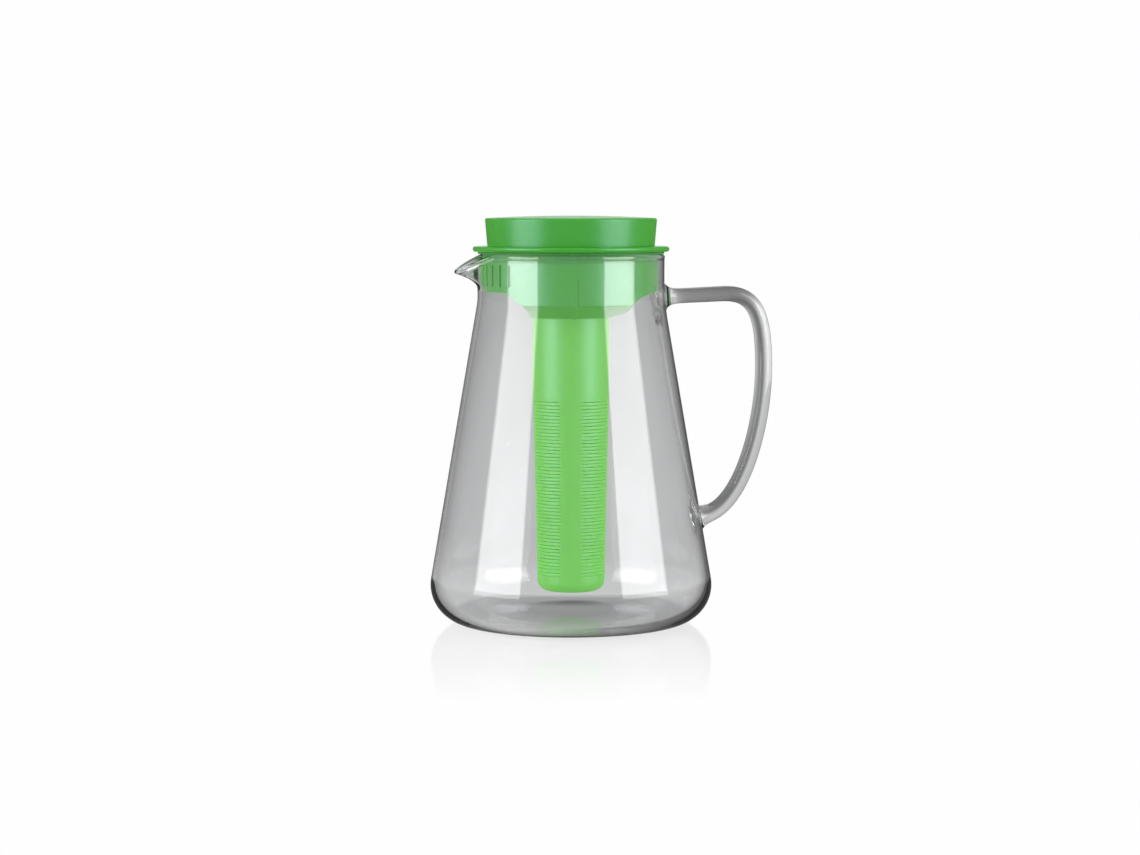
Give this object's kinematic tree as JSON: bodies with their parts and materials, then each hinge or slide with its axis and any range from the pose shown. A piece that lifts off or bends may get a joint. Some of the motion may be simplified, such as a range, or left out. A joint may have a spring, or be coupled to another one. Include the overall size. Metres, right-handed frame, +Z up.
{
  "type": "pitcher with ice core",
  "caption": "Conical glass pitcher with a rod handle and pinched spout, a drop-in strainer lid with cap, a slotted infuser tube and a freezable core inside it.",
  "frame": {"origin": "centre of the glass base's underside, on the jug's axis, where it stands on the table", "axes": "+Z up along the jug's axis, +X towards the handle, -X towards the spout, +Y to the side"},
  "size_m": [0.1965, 0.159, 0.2295],
  "materials": {
    "glass": "clear blown borosilicate glass, smooth, slightly grey at its edges",
    "lid_plastic": "satin green moulded plastic, slightly translucent",
    "tube_plastic": "translucent green moulded plastic, satin",
    "seal": "soft green silicone, matt",
    "core_plastic": "clear moulded plastic with a cold bloom",
    "ice": "cloudy frozen water"
  },
  "bodies": {
    "jug": {"glass_jug": "glass", "glass_handle": "glass"},
    "seal": {"neck_seal": "seal"},
    "collar": {"lid_collar": "lid_plastic"},
    "cap": {"lid_cap": "lid_plastic", "cap_seal": "seal"},
    "infuser": {"infuser_tube": "tube_plastic"},
    "core": {"core_tube": "core_plastic", "core_stopper": "lid_plastic", "core_seal": "seal", "core_ice": "ice"}
  },
  "joints": [
    {"name": "lid_lift", "type": "slide", "parent": "jug", "child": "seal", "axis": [0, 0, 1], "range_m": [0, 0.2]},
    {"name": "lid_turn", "type": "hinge", "parent": "seal", "child": "collar", "pos_m": [0, 0, 0.2094], "axis": [0, 0, 1], "continuous": true},
    {"name": "cap_lift", "type": "slide", "parent": "collar", "child": "cap", "axis": [0, 0, 1], "range_m": [0, 0.185]},
    {"name": "infuser_turn", "type": "hinge", "parent": "collar", "child": "infuser", "pos_m": [0, 0, 0.18], "axis": [0, 0, 1], "range_deg": [0, 40]},
    {"name": "core_turn", "type": "hinge", "parent": "cap", "child": "core", "pos_m": [0, 0, 0.218], "axis": [0, 0, 1], "range_deg": [0, 40]}
  ]
}
